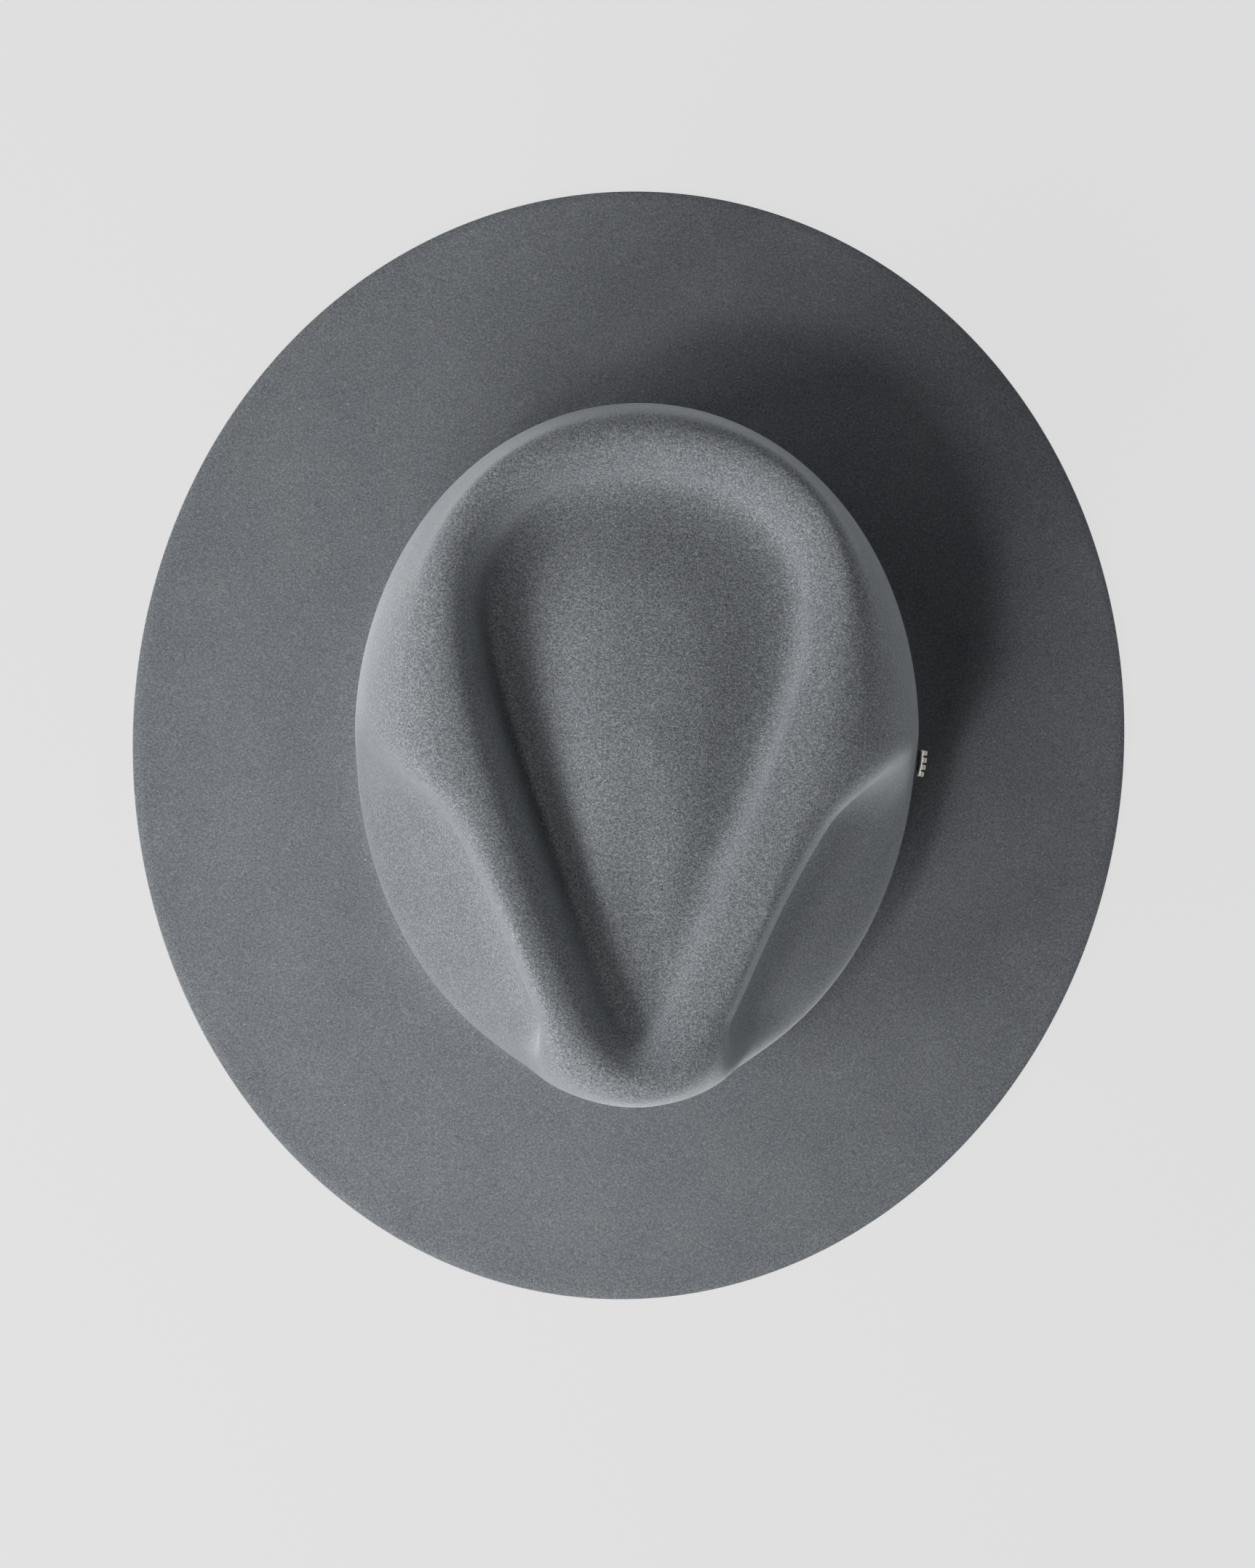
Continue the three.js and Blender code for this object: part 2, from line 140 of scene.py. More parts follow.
def crown_points(name, angle, grow=0.0):
    points = ring_points(RINGS[name], angle, grow)
    points[..., 2] += DENT_LEAN.get(name, 0) * np.cos(angle)
    if name in PINCHED:
        share = pinch_at(angle)[..., None]
        points = points * (1 - share) + ring_points(PINCHED[name], angle, grow) * share
    return points


def brim_points(angle, inset, height):
    x = (BRIM_WIDTH / 2 - inset) * np.cos(angle) * (1 + 0.012 * np.sin(angle))
    y = (BRIM_LENGTH / 2 - inset) * np.sin(angle)
    c, s = math.cos(BRIM_TWIST), math.sin(BRIM_TWIST)
    return np.stack([x * c + y * s, y * c - x * s, np.full_like(x, height)], axis=-1)


def base_oval(angle, offset, z):
    points = ring_points(RINGS["band_foot"], angle, offset)
    points[..., 2] = z
    return points


def spline(knots, steps):
    """Centripetal Catmull-Rom curves through knots[angle, knot], with steps[span] points a span."""
    first = 2 * knots[:, :1] - knots[:, 1:2]
    last = 2 * knots[:, -1:] - knots[:, -2:-1]
    padded = np.concatenate([first, knots, last], axis=1)
    rows = [knots[:, 0]]
    for span, count in enumerate(steps):
        p0, p1, p2, p3 = (padded[:, span + i] for i in range(4))
        d0, d1, d2 = (
            np.maximum(np.linalg.norm(b - a, axis=-1, keepdims=True), 1e-6) ** 0.5
            for a, b in ((p0, p1), (p1, p2), (p2, p3))
        )
        out = ((p1 - p0) / d0 - (p2 - p0) / (d0 + d1) + (p2 - p1) / d1) * d1
        into = ((p2 - p1) / d1 - (p3 - p1) / (d1 + d2) + (p3 - p2) / d2) * d1
        for step in range(1, count + 1):
            t = step / count
            rows.append(
                p1 + out * t + (3 * (p2 - p1) - 2 * out - into) * t**2
                + (2 * (p1 - p2) + out + into) * t**3
            )
    return np.stack(rows, axis=1)


def soften(grid, passes, around=0):
    """Smooths the rows of a grid between its two ends, and then round its angles."""
    grid = grid.copy()
    for _ in range(passes):
        grid[:, 1:-1] = (grid[:, :-2] + 2 * grid[:, 1:-1] + grid[:, 2:]) / 4
    for _ in range(around):
        grid = (np.roll(grid, 1, axis=0) + 2 * grid + np.roll(grid, -1, axis=0)) / 4
    return grid


def normals_of(grid):
    along = np.gradient(grid, axis=1)
    around = np.roll(grid, -1, axis=0) - np.roll(grid, 1, axis=0)
    normal = np.cross(around, along)
    return normal / np.maximum(np.linalg.norm(normal, axis=-1, keepdims=True), 1e-9)


def sweep(count=ANGLES):
    return np.arange(count) * TAU / count


# ---------------------------------------------------------------- meshes
def object_from(name, vertices, faces):
    mesh = bpy.data.meshes.new(name)
    mesh.from_pydata((np.asarray(vertices) * MM).tolist(), [], faces)
    mesh.update()
    mesh.polygons.foreach_set("use_smooth", [True] * len(mesh.polygons))
    piece = bpy.data.objects.new(name, mesh)
    scene.collection.objects.link(piece)
    return piece


def ring_faces(around, across, closed_section):
    i = np.arange(around)[:, None]
    j = np.arange(across if closed_section else across - 1)[None, :]
    nxt_i, nxt_j = (i + 1) % around, (j + 1) % across
    quads = np.stack(np.broadcast_arrays(
        i * across + j, nxt_i * across + j, nxt_i * across + nxt_j, i * across + nxt_j), axis=-1)
    return quads.reshape(-1, 4).tolist()


def ring_object(name, sections):
    """A closed ring from sections[angle, point], each of them a closed loop."""
    around, across = sections.shape[:2]
    return object_from(name, sections.reshape(-1, 3), ring_faces(around, across, True))


def pole_object(name, body, poles):
    """A closed surface whose open sections[angle, point] all run from an upper to a lower pole."""
    around, across = body.shape[:2]
    faces = ring_faces(around, across, False)
    top, low = around * across, around * across + 1
    for i in range(around):
        j = (i + 1) % around
        faces.append((top, j * across, i * across))
        faces.append((low, i * across + across - 1, j * across + across - 1))
    return object_from(name, np.concatenate([body.reshape(-1, 3), np.array(poles)]), faces)


def plate_object(name, front, back):
    """A closed plate between two grids of points[row, column] that share one border."""
    rows, columns = front.shape[:2]
    count = rows * columns
    faces = []
    for j in range(rows - 1):
        for i in range(columns - 1):
            a = j * columns + i
            faces.append((a, a + 1, a + columns + 1, a + columns))
            faces.append((count + a, count + a + columns, count + a + columns + 1, count + a + 1))
    border = list(range(columns))
    border += [j * columns + columns - 1 for j in range(1, rows)]
    border += [(rows - 1) * columns + i for i in range(columns - 2, -1, -1)]
    border += [j * columns for j in range(rows - 2, 0, -1)]
    for a, b in zip(border, border[1:] + border[:1]):
        faces.append((a, count + a, count + b, b))
    return object_from(name, np.concatenate([front.reshape(-1, 3), back.reshape(-1, 3)]), faces)


def add_uv(piece, u, v):
    """Stores each vertex's place on the flat cloth, in metres, for the weave to follow."""
    flat = piece.data.attributes.new("flat", "FLOAT_VECTOR", "POINT")
    values = np.stack([u, v, np.zeros_like(u)], axis=-1) * MM
    flat.data.foreach_set("vector", values.astype(np.float32).ravel())


# ---------------------------------------------------------------- materials
def new_material(name, roughness, base, **sockets):
    material = bpy.data.materials.new(name)
    material.use_nodes = True
    shader = material.node_tree.nodes["Principled BSDF"]
    shader.inputs["Base Color"].default_value = (*base, 1)
    shader.inputs["Roughness"].default_value = roughness
    for socket, value in sockets.items():
        shader.inputs[socket.replace("_", " ")].default_value = value
    return material, material.node_tree, shader


def node(tree, kind, **values):
    made = tree.nodes.new("ShaderNode" + kind)
    for key, value in values.items():
        if key in made.inputs:
            made.inputs[key].default_value = value
        else:
            setattr(made, key, value)
    return made


def noise(tree, vector, scale, detail=3.0, roughness=0.6):
    made = node(tree, "TexNoise", Scale=scale, Detail=detail, Roughness=roughness)
    tree.links.new(vector, made.inputs["Vector"])
    return made.outputs["Fac"]


def math_node(tree, operation, a, b=None):
    made = node(tree, "Math", operation=operation)
    for socket, value in zip(made.inputs, (a, b)):
        if value is None:
            continue
        if isinstance(value, (int, float)):
            socket.default_value = value
        else:
            tree.links.new(value, socket)
    return made.outputs[0]


def ramp(tree, fac, stops):
    made = node(tree, "ValToRGB")
    elements = made.color_ramp.elements
    while len(elements) < len(stops):
        elements.new(0.5)
    for element, (place, colour) in zip(elements, stops):
        element.position = place
        element.color = (*colour, 1)
    tree.links.new(fac, made.inputs["Fac"])
    return made.outputs["Color"]


def mixed(tree, fac, a, b, blend="MIX"):
    made = node(tree, "Mix", data_type="RGBA", blend_type=blend)
    for socket, value in ((made.inputs[0], fac), (made.inputs[6], a), (made.inputs[7], b)):
        if isinstance(value, (int, float)):
            socket.default_value = value
        elif isinstance(value, tuple):
            socket.default_value = (*value, 1)
        else:
            tree.links.new(value, socket)
    return made.outputs[2]


def bump(tree, shader, height, strength, distance_mm):
    made = node(tree, "Bump", Strength=strength, Distance=distance_mm * MM)
    tree.links.new(height, made.inputs["Height"])
    tree.links.new(made.outputs["Normal"], shader.inputs["Normal"])


def felt_material():
    """Fur felt: a close, even brim, and a crown whose grain grows coarser and whose colour grows lighter
    towards its top.
    """
    material, tree, shader = new_material(
        "grey_fur_felt", 0.95, (0.17, 0.18, 0.2),
        Sheen_Weight=0.85, Sheen_Roughness=0.35, Sheen_Tint=(0.9, 0.95, 1.0, 1), Specular_IOR_Level=0.1,
    )
    place = node(tree, "TexCoord").outputs["Object"]
    split = node(tree, "SeparateXYZ")
    tree.links.new(place, split.inputs[0])
    up_the_crown = node(tree, "MapRange", interpolation_type="SMOOTHSTEP")
    for socket, value in zip(("From Min", "From Max", "To Min", "To Max"), (0.03, 0.095, 0.62, 1.0)):
        up_the_crown.inputs[socket].default_value = value
    tree.links.new(split.outputs["Z"], up_the_crown.inputs["Value"])
    up_the_crown = up_the_crown.outputs["Result"]
    clumps = noise(tree, place, 1450, 3, 0.7)
    fibres = noise(tree, place, 3000, 2, 0.6)
    cloud = noise(tree, place, 38, 3, 0.55)
    grain = math_node(tree, "ADD", math_node(tree, "MULTIPLY", clumps, 0.55),
                      math_node(tree, "MULTIPLY", fibres, 0.45))
    centred = math_node(tree, "MULTIPLY", math_node(tree, "SUBTRACT", grain, 0.5), up_the_crown)
    tone = ramp(tree, math_node(tree, "ADD", centred, 0.5), [
        (0.35, (0.062, 0.068, 0.078)), (0.5, (0.166, 0.177, 0.194)), (0.65, (0.35, 0.366, 0.388))])
    # Colour made up to 15% lighter over the top of the crown than lower down.
    lift = ramp(tree, up_the_crown, [(0.85, (1.03, 1.03, 1.03)), (1.0, (1.18, 1.18, 1.17))])
    patch = ramp(tree, cloud, [(0.3, (0.94, 0.94, 0.95)), (0.7, (1.06, 1.06, 1.05))])
    colour = mixed(tree, 1.0, mixed(tree, 1.0, tone, patch, "MULTIPLY"), lift, "MULTIPLY")
    fleck = ramp(tree, noise(tree, place, 1300, 1, 0.4), [(0.775, (0, 0, 0)), (0.81, (1, 1, 1))])
    tree.links.new(mixed(tree, fleck, colour, (0.46, 0.47, 0.48)), shader.inputs["Base Color"])
    bump(tree, shader, centred, 0.7, 0.6)
    return material


def ribbon_material():
    material, tree, shader = new_material(
        "charcoal_grosgrain", 0.7, (0.06, 0.065, 0.072),
        Sheen_Weight=0.25, Sheen_Roughness=0.35, Specular_IOR_Level=0.3,
    )
    flat = node(tree, "Attribute", attribute_name="flat").outputs["Vector"]
    split = node(tree, "SeparateXYZ")
    tree.links.new(flat, split.inputs[0])
    weft = math_node(
        tree, "COSINE", math_node(tree, "MULTIPLY", split.outputs["X"], TAU / (RIB_PITCH * MM)))
    warp = math_node(
        tree, "SINE", math_node(tree, "MULTIPLY", split.outputs["Y"], TAU / (WARP_PITCH * MM)))
    weave = math_node(tree, "ADD", math_node(tree, "MULTIPLY", weft, 0.5),
                      math_node(tree, "MULTIPLY", warp, 0.22))
    tone = ramp(tree, math_node(tree, "ADD", math_node(tree, "MULTIPLY", weave, 0.4), 0.5),
                [(0.1, (0.040, 0.044, 0.050)), (0.9, (0.085, 0.091, 0.101))])
    place = node(tree, "TexCoord").outputs["Object"]
    worn = ramp(tree, noise(tree, place, 120, 3, 0.6), [(0.3, (0.86, 0.86, 0.87)), (0.75, (1.1, 1.1, 1.1))])
    tree.links.new(mixed(tree, 1.0, tone, worn, "MULTIPLY"), shader.inputs["Base Color"])
    bump(tree, shader, weave, 0.35, 0.12)
    return material


def grained_material(name, roughness, base, grain, tones, relief, **sockets):
    """A plain look whose one noise, grain, both colours it and raises it by relief."""
    material, tree, shader = new_material(name, roughness, base, **sockets)
    height = noise(tree, node(tree, "TexCoord").outputs["Object"], *grain)
    tree.links.new(ramp(tree, height, tones), shader.inputs["Base Color"])
    bump(tree, shader, height, *relief)
    return material


def leather_material():
    material, tree, shader = new_material(
        "dark_sheepskin", 0.5, (0.035, 0.025, 0.02), Specular_IOR_Level=0.4,
    )
    place = node(tree, "TexCoord").outputs["Object"]
    cells = node(tree, "TexVoronoi", Scale=1100.0, feature="DISTANCE_TO_EDGE")
    tree.links.new(place, cells.inputs["Vector"])
    pores = noise(tree, place, 420, 4, 0.65)
    height = math_node(tree, "ADD", cells.outputs["Distance"], math_node(tree, "MULTIPLY", pores, 0.5))
    tone = ramp(tree, pores, [(0.3, (0.022, 0.015, 0.012)), (0.7, (0.058, 0.040, 0.031))])
    tree.links.new(tone, shader.inputs["Base Color"])
    worn = noise(tree, place, 60, 3, 0.6)
    rough = ramp(tree, worn, [(0.3, (0.38, 0.38, 0.38)), (0.7, (0.62, 0.62, 0.62))])
    tree.links.new(rough, shader.inputs["Roughness"])
    bump(tree, shader, height, 0.3, 0.15)
    return material


def metal_material():
    material, tree, shader = new_material("warm_silver", 0.36, (0.86, 0.82, 0.74), Metallic=1.0)
    place = node(tree, "TexCoord").outputs["Object"]
    brushed = node(tree, "Mapping")
    brushed.inputs["Scale"].default_value = (1, 1, 14)
    tree.links.new(place, brushed.inputs["Vector"])
    lines = noise(tree, brushed.outputs["Vector"], 900, 3, 0.6)
    rough = ramp(tree, lines, [(0.3, (0.28, 0.28, 0.28)), (0.75, (0.46, 0.46, 0.46))])
    tree.links.new(rough, shader.inputs["Roughness"])
    tarnish = noise(tree, place, 260, 3, 0.6)
    tone = ramp(tree, tarnish, [(0.3, (0.84, 0.80, 0.72)), (0.7, (0.95, 0.92, 0.85))])
    tree.links.new(tone, shader.inputs["Base Color"])
    bump(tree, shader, lines, 0.12, 0.05)
    return material


def tag_material():
    material, tree, shader = new_material("woven_tag", 0.85, (0.76, 0.74, 0.68), Sheen_Weight=0.1)
    place = node(tree, "TexCoord").outputs["Object"]
    weave = node(tree, "TexWave", Scale=900.0, Distortion=1.5)
    tree.links.new(place, weave.inputs["Vector"])
    tree.links.new(ramp(tree, weave.outputs["Fac"], [(0.1, (0.68, 0.66, 0.6)), (0.9, (0.82, 0.8, 0.74))]),
                   shader.inputs["Base Color"])
    bump(tree, shader, weave.outputs["Fac"], 0.25, 0.08)
    return material


FELT_LOOK = felt_material()
RIBBON_LOOK = ribbon_material()
RIBBON_PLAIN = grained_material(
    "narrow_black_ribbon", 0.45, (0.03, 0.032, 0.036), (3800, 2, 0.5),
    [(0.3, (0.022, 0.024, 0.028)), (0.7, (0.045, 0.048, 0.054))], (0.25, 0.06),
    Sheen_Weight=0.2, Specular_IOR_Level=0.4)
TAPE_LOOK = grained_material(
    "reed_tape_cloth", 0.85, (0.05, 0.05, 0.055), (2200, 3, 0.7),
    [(0.35, (0.032, 0.032, 0.036)), (0.65, (0.078, 0.078, 0.084))], (0.4, 0.12),
    Sheen_Weight=0.2)
THREAD_LOOK = grained_material(
    "charcoal_thread", 0.6, (0.09, 0.09, 0.095), (5200, 2, 0.6),
    [(0.3, (0.06, 0.06, 0.065)), (0.7, (0.14, 0.14, 0.15))], (0.4, 0.05),
    Sheen_Weight=0.3)
LEATHER_LOOK = leather_material()
SATIN_LOOK = grained_material(
    "charcoal_satin", 0.32, (0.045, 0.05, 0.06), (2600, 2, 0.5),
    [(0.3, (0.035, 0.039, 0.047)), (0.7, (0.062, 0.067, 0.079))], (0.15, 0.08),
    Anisotropic=0.6, Sheen_Weight=0.15)
METAL_LOOK = metal_material()
PLASTIC_LOOK = grained_material(
    "reed_plastic", 0.3, (0.72, 0.72, 0.68), (180, 3, 0.6),
    [(0.3, (0.64, 0.64, 0.6)), (0.7, (0.78, 0.78, 0.74))], (0.1, 0.1))
TAG_LOOK = tag_material()


def finish_piece(piece, look, slot, *nodes):
    piece.data.materials.append(look)
    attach(piece, "root")
    if nodes:
        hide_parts(*nodes)
    return piece


# ---------------------------------------------------------------- felt body
EDGE_ROUND = 0.45
# How many rows each span gets between two of the felt's rings, from the brim's edge to the dome.
FELT_STEPS = [3, 10, 10, 6, 6, 14, 10, 14, 16, 14, 10, 10, 8, 8, 10, 16, 22]
FLAT_ROWS = 5
# The raw edge between the two faces: inset, and height as a share of the thickness.
EDGE_ROWS = ((0.12, 0.9), (0, 0.72), (0, 0.28), (0.12, 0.1))


def felt_sections():
    angle = sweep()
    margin = brim_points(angle, FLAT_MARGIN, FELT)
    foot = crown_points("foot", angle)
    middle = (margin + foot) / 2
    middle[:, 2] = FELT + BRIM_RISE
    dome_top = np.array(DOME_TOP) + (CROWN_X, CROWN_Y, 0)
    top = np.broadcast_to(dome_top, foot.shape)
    crown = [crown_points(name, angle) for name in list(RINGS)[1:]]
    knots = np.stack([brim_points(angle, EDGE_ROUND, FELT), margin, middle, foot, *crown, top], axis=1)
    return soften(spline(knots, FELT_STEPS), 6, around=4)


def felt_body():
    outer = felt_sections()
    normal = normals_of(outer)
    normal[:, -1] = (0, 0, 1)
    normal[:, :FLAT_ROWS] = (0, 0, 1)
    inner = outer - normal * FELT
    edge = [brim_points(sweep(), inset, FELT * height) for inset, height in EDGE_ROWS]
    loops = np.concatenate([outer[:, ::-1], np.stack(edge, axis=1), inner], axis=1)
    piece = pole_object("felt_hat_body", loops[:, 1:-1], (loops[0, 0], loops[0, -1]))
    return finish_piece(piece, FELT_LOOK, "felt", "felt_body")


felt = felt_body()


# ---------------------------------------------------------------- outside trim
def strip_loops(angle, offset, low, high, thickness):
    """Closed sections of an upright strip round the crown, from its offset[angle, row]."""
    rows = offset.shape[1]
    height = np.linspace(low, high, rows)
    outer = [base_oval(angle, offset[:, j] + thickness, height[j]) for j in range(rows)]
    inner = [base_oval(angle, offset[:, j], height[j]) for j in range(rows)]
    return np.stack(outer + inner[::-1], axis=1)


def oval_length(offset):
    points = base_oval(sweep(), offset, 0)
    return np.linalg.norm(points - np.roll(points, 1, axis=0), axis=1).sum()


def hatband_ribbon():
    """Grosgrain: ribs across its width, two smooth selvedges, and a slight crown between them."""
    length = oval_length(GAP + RIBBON)
    ribs = round(length / RIB_PITCH)
    angle = sweep(ribs * 4)
    low, high, rows = BAND_LOW + 0.8, BAND_HIGH - 1.0, 17
    across = np.linspace(0, 1, rows)
    sections = strip_loops(angle, np.full((len(angle), rows), GAP), low, high, RIBBON)
    body = np.clip(np.minimum(across, 1 - across) * 9, 0, 1)
    lift = 0.08 * np.cos(angle * ribs)[:, None] * body + 0.25 * np.sin(np.pi * across)
    outward = base_oval(angle, 1, 0) - base_oval(angle, 0, 0)
    sections[:, :rows] += outward[:, None] * (lift - 0.12 * (1 - body))[..., None]
    ripple = 0.12 * np.sin(5 * angle + 1) + 0.06 * np.sin(13 * angle)
    sections[:, rows - 1:rows + 1, 2] += ripple[:, None] * 0.5
    piece = ring_object("grosgrain_hatband", sections)
    u = np.repeat(angle / TAU * ribs * RIB_PITCH, 2 * rows)
    v = np.tile(np.concatenate([across, across[::-1]]) * (high - low), len(angle))
    add_uv(piece, u, v)
    finish_piece(piece, RIBBON_LOOK, "ribbon", "hatband_ribbon")
    band_tacks()


def racetrack(half_thick, half_tall, count):
    """Points and outward normals, evenly spaced, round a tall slot shape with half-round ends."""
    straight = half_tall - half_thick
    leg, arc = 2 * straight, math.pi * half_thick
    s = np.arange(count) / count * 2 * (leg + arc)
    out, up, normal_out, normal_up = (np.zeros(count) for _ in range(4))
    for i, along in enumerate(s):
        side = 1 if along < leg + arc else -1
        rest = along % (leg + arc)
        if rest < leg:
            out[i], up[i] = side * half_thick, side * (rest - straight)
            normal_out[i] = side
        else:
            turn = (rest - leg) / half_thick
            out[i] = side * half_thick * math.cos(turn)
            up[i] = side * (straight + half_thick * math.sin(turn))
            normal_out[i], normal_up[i] = side * math.cos(turn), side * math.sin(turn)
    return out, up, normal_out, normal_up, s


def ribbon_keeper():
    """A short length of the same ribbon, wrapped up and over to hide the hatband's join."""
    half_tall = (BAND_HIGH - BAND_LOW - 1) / 2
    low = BAND_LOW + 0.4
    out, up, normal_out, normal_up, along = racetrack(KEEPER / 2, half_tall, 320)
    across = np.linspace(-1, 1, 27)
    base = 2 * GAP + RIBBON + KEEPER / 2
    rib = 0.05 * np.cos(along * TAU / RIB_PITCH)[:, None]
    front = np.clip(normal_out, 0, 1)[:, None]
    fold = 0.16 * np.cos(across * TAU * 1.5)[None, :] * front
    edge = -0.2 * np.clip((np.abs(across) - 0.86) / 0.14, 0, 1)[None, :] ** 2
    angle = np.broadcast_to(BADGE_ANGLE + across * 0.05, (len(out), len(across)))
    loops = []
    for inward, shape in ((0.0, rib + fold + edge), (RIBBON, fold - edge)):
        offset = base + out[:, None] + normal_out[:, None] * (shape - inward)
        height = low + half_tall + up[:, None] + normal_up[:, None] * (shape - inward)
        points = base_oval(angle, offset, 0.0)
        points[..., 2] = np.broadcast_to(height, offset.shape)
        loops.append(points)
    sections = np.concatenate([loops[0], loops[1][:, ::-1]], axis=1)
    piece = ring_object("ribbon_keeper_fold", sections)
    u = np.repeat(along, 2 * len(across))
    v = np.tile(np.concatenate([across, across[::-1]]) * 5.2, len(out))
    add_uv(piece, u, v)
    finish_piece(piece, RIBBON_LOOK, "ribbon", "ribbon_keeper")


def badge():
    """A bent plate with four upright ribs, every edge rounded."""
    width, height, plate, bend, turn, stand_off = 8.2, 12.0, 1.1, 30.0, -0.14, 0.9
    ribs, rib_width, rib_height, rib_depth, corner = 4, 1.7, 10.8, 1.3, 0.7
    across = np.linspace(-1, 1, 121)
    u, v = np.meshgrid(across, across)
    z = v * height / 2
    into_corner = np.clip(np.abs(z) - (height / 2 - corner), 0, corner)
    half = width / 2 - corner + np.sqrt(np.maximum(corner**2 - into_corner**2, 0))
    x = u * half
    pitch = (width - rib_width) / (ribs - 1)
    from_rib = np.min([np.abs(x - (i - (ribs - 1) / 2) * pitch) for i in range(ribs)], axis=0)
    soft = 0.26
    rib = smoothstep(rib_width / 2 - from_rib, -soft / 3, soft) * smoothstep(
        rib_height / 2 - np.abs(z), -soft / 3, soft * 1.6)
    margin = np.minimum(half - np.abs(x), height / 2 - np.abs(z))
    rim = smoothstep(margin, 0, 0.3)
    front = plate * (0.72 + 0.28 * rim) + rib_depth * rib
    back = 0.12 * (1 - rim)
    place = base_oval(np.array([BADGE_ANGLE]), 2 * GAP + RIBBON + KEEPER + stand_off, 0.0)[0]

    def bent(depth):
        a = x / bend
        out = (bend + depth) * np.cos(a) - bend
        side = (bend + depth) * np.sin(a)
        return np.stack([
            place[0] + out * math.cos(turn) - side * math.sin(turn),
            place[1] + out * math.sin(turn) + side * math.cos(turn),
            (BAND_LOW + BAND_HIGH) / 2 + z], axis=-1)

    piece = plate_object("ribbed_badge", bent(front), bent(back))
    finish_piece(piece, METAL_LOOK, "badge_metal", "badge_plate")


# ---------------------------------------------------------------- stitches
def stitches(name, places, look, slot, length=1.9, radius=0.17):
    """One mesh of small thread stitches. Each place is its middle, its direction and its outward way."""
    sides, rings = 6, 5
    turn = np.arange(sides) * TAU / sides
    vertices, faces = [], []
    for middle, along, outward in places:
        middle, along, outward = (np.asarray(value, float) for value in (middle, along, outward))
        along /= np.linalg.norm(along)
        outward = outward - along * outward.dot(along)
        outward /= np.linalg.norm(outward)
        beside = np.cross(along, outward)
        start = len(vertices)
        for ring in range(rings):
            t = ring / (rings - 1) * 2 - 1
            lift = 0.14 * (1 - t * t) - 0.08
            size = radius * (1 - 0.45 * t * t)
            centre = middle + along * t * length / 2 + outward * lift
            vertices += [centre + size * (math.cos(a) * beside + math.sin(a) * outward) for a in turn]
        for ring in range(rings - 1):
            for i in range(sides):
                a, b = start + ring * sides + i, start + ring * sides + (i + 1) % sides
                faces.append((a, b, b + sides, a + sides))
        faces.append(tuple(start + i for i in reversed(range(sides))))
        faces.append(tuple(start + (rings - 1) * sides + i for i in range(sides)))
    finish_piece(object_from(name, vertices, faces), look, slot)


def oval_place(angle, offset, z, tilt=0.0):
    """A stitch on the oval: tilt is its turn from level towards upright."""
    here = base_oval(np.array([angle]), offset, z)[0]
    ahead = base_oval(np.array([angle + 0.001]), offset, z)[0]
    level = (ahead - here) / np.linalg.norm(ahead - here)
    outward = np.cross(level, (0, 0, 1))
    if offset < 0:
        outward = -outward
    return here, level * math.cos(tilt) + np.array((0, 0, 1)) * math.sin(tilt), outward


def band_tacks():
    """Short upright stitches that hold the hatband's upper and lower edges to the felt."""
    places = []
    from_badge = 0.12
    for angle in np.linspace(BADGE_ANGLE + from_badge, BADGE_ANGLE + TAU - from_badge, 12):
        for z in (BAND_LOW + 1.5, BAND_HIGH - 1.7):
            places.append(oval_place(angle, GAP + RIBBON + 0.12, z, math.pi / 2))
    stitches("band_tacks", places, THREAD_LOOK, "ribbon", 1.3, 0.13)


# ---------------------------------------------------------------- sweatband
def sweatband():
    """A leather strip that stands just inside the felt, with an embossed line under its top edge."""
    angle = sweep()
    rows = 33
    up = np.linspace(0, 1, rows)
    sway = (0.3 * np.sin(3 * angle + 0.7) + 0.14 * np.sin(11 * angle + 2))[:, None] * up**1.5
    offset = LEATHER_INNER + np.minimum(sway, 0.1) - LEATHER_LEAN * up**2
    sections = strip_loops(angle, offset, LEATHER_LOW, LEATHER_TOP, LEATHER)
    inward = (base_oval(angle, -1, 0) - base_oval(angle, 0, 0))[:, None]
    groove = 0.22 * np.exp(-(((up - 0.9) / 0.018) ** 2))
    thin = 0.3 * smoothstep(up, 0.96, 1.0) + 0.3 * smoothstep(-up, -0.04, 0.0)
    sections[:, rows:] -= inward * (groove + thin)[::-1][None, :, None]
    sections[:, :rows] += inward * thin[None, :, None]
    return finish_piece(
        ring_object("leather_sweatband", sections), LEATHER_LOOK, "sweatband_leather", "sweatband_leather")


def round_reed(angle, radius, turns):
    """Rows that follow the reed's line, radius away from it, one for each turn round it."""
    return [base_oval(angle, REED_OFFSET + radius * math.cos(turn), REED_Z + radius * math.sin(turn))
            for turn in turns]


def sweatband_tape():
    """The folded tape that holds the reed under the leather's lower edge."""
    angle = sweep()
    turns = np.linspace(math.pi, TAU, 13)
    outside = TAPE_INSIDE + TAPE

    def leg(side, radius, heights):
        wave = 0.05 * np.sin(40 * angle)
        return [base_oval(angle, REED_OFFSET + side * radius + wave * (z > 6), z) for z in heights]

    rising = np.linspace(REED_Z + 0.6, TAPE_HIGH, 6)
    falling = rising[::-1]
    rows = [*leg(-1, outside, falling), *round_reed(angle, outside, turns), *leg(1, outside, rising),
            *leg(1, TAPE_INSIDE, falling), *round_reed(angle, TAPE_INSIDE, turns[::-1]),
            *leg(-1, TAPE_INSIDE, rising)]
    piece = ring_object("reed_tape", np.stack(rows, axis=1))
    finish_piece(piece, TAPE_LOOK, "ribbon", "sweatband_tape")
    length = oval_length(REED_OFFSET)


def sweatband_reed():
    """The plastic cord that stiffens the sweatband's lower edge."""
    rows = round_reed(sweep(), REED_RADIUS, sweep(16))
    piece = ring_object("round_reed", np.stack(rows, axis=1))
    finish_piece(piece, PLASTIC_LOOK, "reed_plastic", "sweatband_reed")


